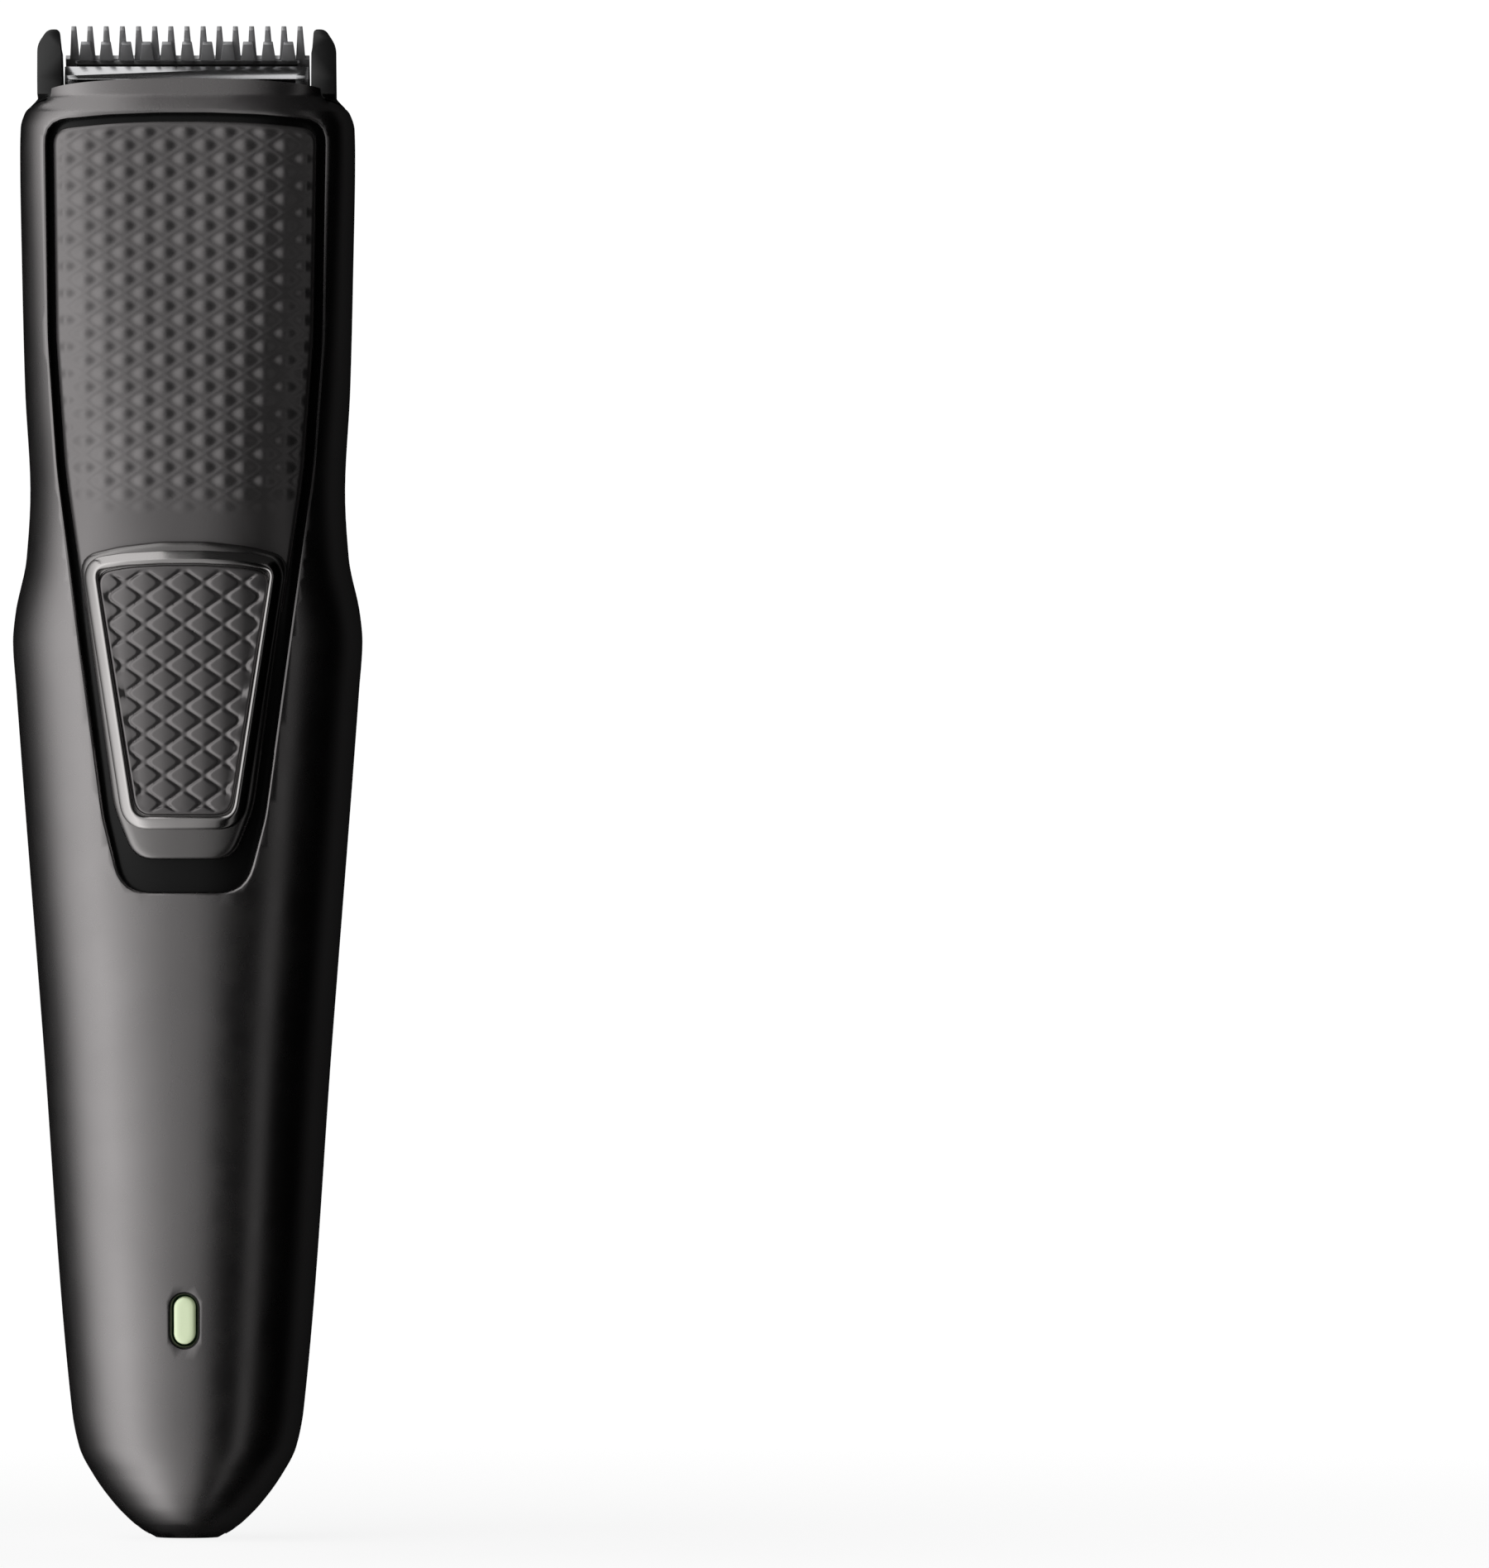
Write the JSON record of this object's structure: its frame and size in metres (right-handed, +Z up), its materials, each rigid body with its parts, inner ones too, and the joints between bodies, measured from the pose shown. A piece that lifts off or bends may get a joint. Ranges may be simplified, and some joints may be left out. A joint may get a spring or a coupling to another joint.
{
  "type": "beard trimmer",
  "caption": "Cordless beard trimmer: tapered two-shell handle with textured grip panel, slide switch, charging inlet and a pull-off toothed blade head driven by a motor.",
  "frame": {"origin": "middle of the bottom of the bounding box, on the flat charging end", "axes": "+Z runs up the handle to the blade, -Y is the front with the switch, X is the width"},
  "size_m": [0.037, 0.03, 0.1604],
  "materials": {
    "shell_grey": "satin warm charcoal, finely grained",
    "panel_charcoal": "matte charcoal with a raised diamond grip texture",
    "black_plastic": "black, lightly polished",
    "satin_rim": "dark metallic plastic with a polished rim",
    "blade_steel": "ground and polished blade steel",
    "steel": "plain steel",
    "copper": "enamelled copper wire and copper strip",
    "brass": "sintered bronze bearing",
    "magnet": "ferrite, dull",
    "white_plastic": "natural white moulding",
    "lens": "translucent, lit pale green",
    "board_green": "green circuit board",
    "rubber": "soft black seal",
    "cell_wrap": "shrink wrap over the cell",
    "lead_red": "insulated lead",
    "lead_black": "insulated lead"
  },
  "bodies": {
    "handle": {"front_housing": "shell_grey", "rear_housing": "shell_grey", "grip_panel": "panel_charcoal", "indicator_window": "lens", "chassis": "black_plastic", "shaft_seal": "rubber", "deck_screw_left": "steel", "deck_screw_right": "steel", "battery_cell": "cell_wrap", "battery_tab_positive": "steel", "battery_tab_negative": "steel", "switch_board": "board_green", "toggle_switch": "steel", "charge_board": "board_green", "charge_chip": "black_plastic", "board_capacitor": "steel", "indicator_lamp": "white_plastic", "board_cable": "white_plastic", "socket_shell": "steel", "socket_tongue": "black_plastic", "motor_can": "steel", "motor_bush": "brass", "motor_end_cap": "white_plastic", "motor_magnet_left": "magnet", "motor_magnet_right": "magnet", "motor_brush_left": "copper", "motor_brush_right": "copper", "motor_lead_red": "lead_red", "motor_lead_black": "lead_black"},
    "slide_switch": {"switch_slider": "satin_rim", "switch_pad": "panel_charcoal", "switch_carrier": "black_plastic", "toggle_knob": "white_plastic"},
    "rotor": {"motor_shaft": "steel", "armature_core": "steel", "armature_winding": "copper", "commutator": "copper", "eccentric_pin": "white_plastic"},
    "blade_head": {"head_frame": "black_plastic", "guard_blade": "blade_steel", "guard_screw_left": "steel", "guard_screw_right": "steel", "cutter_spring": "steel", "retainer_strip": "blade_steel"},
    "cutter": {"cutter_blade": "blade_steel", "cutter_bridge": "black_plastic"}
  },
  "joints": [
    {"name": "switch_slide", "type": "slide", "parent": "handle", "child": "slide_switch", "axis": [0, 0, 1], "range_m": [0, 0.004]},
    {"name": "motor_spin", "type": "hinge", "parent": "handle", "child": "rotor", "pos_m": [0, 0, 0.13], "axis": [0, 0, 1], "continuous": true},
    {"name": "head_release", "type": "slide", "parent": "handle", "child": "blade_head", "axis": [0, 0, 1], "range_m": [0, 0.014]},
    {"name": "cutter_stroke", "type": "slide", "parent": "blade_head", "child": "cutter", "axis": [1, 0, 0], "range_m": [-0.001, 0.001]}
  ]
}
